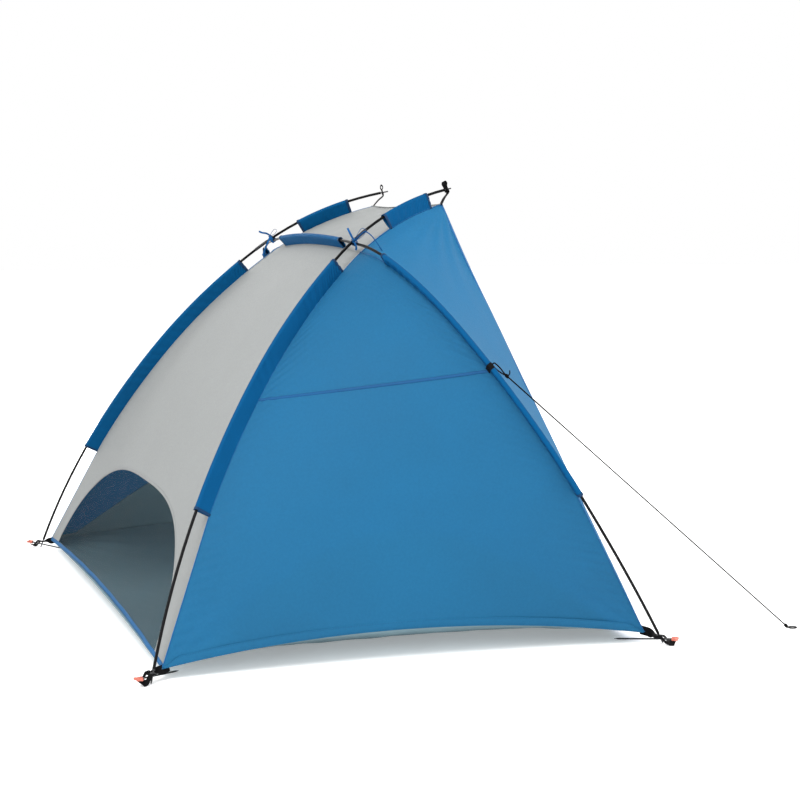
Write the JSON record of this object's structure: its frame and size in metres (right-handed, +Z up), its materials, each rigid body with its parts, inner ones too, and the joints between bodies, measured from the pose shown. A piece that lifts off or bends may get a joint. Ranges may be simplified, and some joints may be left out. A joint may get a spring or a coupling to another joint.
{
  "type": "beach shelter tent",
  "caption": "Open-fronted beach shelter tent: two rails over a leaning hoop, sleeved fabric panels, mesh rear window, awning, pegged corner straps and a guy line.",
  "frame": {"origin": "on the ground at the middle of the footprint", "axes": "+Z up, the open front faces -Y, X from side to side, mirror-symmetric about X = 0 apart from the guy line"},
  "size_m": [2.2886, 1.9935, 1.3272],
  "materials": {
    "fibreglass": "black pultruded fibreglass, satin",
    "steel": "drawn steel, satin",
    "elastic": "braided elastic cord",
    "grey_cloth": "light grey coated polyester",
    "blue_cloth": "mid blue coated polyester",
    "light_blue_cloth": "blue coated polyester, lit from behind",
    "sleeve_cloth": "darker blue polyester, doubled",
    "floor_cloth": "dark grey coated floor cloth",
    "mesh": "black insect mesh",
    "binding": "blue edge tape",
    "webbing": "black polyester webbing",
    "peg_steel": "black coated steel",
    "peg_plastic": "orange moulded plastic",
    "cord": "black braided cord",
    "tie_tape": "blue polyester tape"
  },
  "bodies": {
    "tent": {"left_rail_segments": "fibreglass", "right_rail_segments": "fibreglass", "hoop_segments": "fibreglass", "left_rail_ferrules": "steel", "right_rail_ferrules": "steel", "hoop_ferrules": "steel", "foot_pins": "steel", "tip_pins": "steel", "corner_eyelets": "steel", "tip_eyelets": "steel", "left_rail_shock_cord": "elastic", "right_rail_shock_cord": "elastic", "hoop_shock_cord": "elastic", "roof_panel": "grey_cloth", "left_side_panel": "blue_cloth", "right_side_panel": "blue_cloth", "left_awning_wing": "light_blue_cloth", "right_awning_wing": "light_blue_cloth", "left_rear_sleeve": "sleeve_cloth", "right_rear_sleeve": "sleeve_cloth", "left_front_sleeve": "sleeve_cloth", "right_front_sleeve": "sleeve_cloth", "left_hoop_sleeve": "sleeve_cloth", "right_hoop_sleeve": "sleeve_cloth", "top_hoop_sleeve": "sleeve_cloth", "floor": "floor_cloth", "left_floor_wall": "floor_cloth", "right_floor_wall": "floor_cloth", "window_mesh": "mesh", "left_hem_binding": "binding", "right_hem_binding": "binding", "rear_hem_binding": "binding", "front_hem_binding": "binding", "left_rear_strap": "webbing", "right_rear_strap": "webbing", "left_front_strap": "webbing", "right_front_strap": "webbing", "left_tip_strap": "webbing", "right_tip_strap": "webbing", "left_guy_patch": "webbing", "right_guy_patch": "webbing", "guy_line": "cord", "guy_loop": "cord", "guy_knot": "cord", "guy_end_knot": "cord", "guy_end_loop": "cord", "left_crossing_tie": "tie_tape", "right_crossing_tie": "tie_tape"},
    "left_rear_peg": {"left_rear_peg_shank": "peg_steel", "left_rear_peg_head": "peg_plastic"},
    "right_rear_peg": {"right_rear_peg_shank": "peg_steel", "right_rear_peg_head": "peg_plastic"},
    "left_front_peg": {"left_front_peg_shank": "peg_steel", "left_front_peg_head": "peg_plastic"},
    "right_front_peg": {"right_front_peg_shank": "peg_steel", "right_front_peg_head": "peg_plastic"}
  },
  "joints": [
    {"name": "left_rear_peg_pull", "type": "slide", "parent": "tent", "child": "left_rear_peg", "axis": [-0.7038, 0.7038, 0.0961], "range_m": [0, 0.17]},
    {"name": "right_rear_peg_pull", "type": "slide", "parent": "tent", "child": "right_rear_peg", "axis": [0.7038, 0.7038, 0.0961], "range_m": [0, 0.17]},
    {"name": "left_front_peg_pull", "type": "slide", "parent": "tent", "child": "left_front_peg", "axis": [-0.7038, -0.7038, 0.0961], "range_m": [0, 0.17]},
    {"name": "right_front_peg_pull", "type": "slide", "parent": "tent", "child": "right_front_peg", "axis": [0.7038, -0.7038, 0.0961], "range_m": [0, 0.17]}
  ]
}
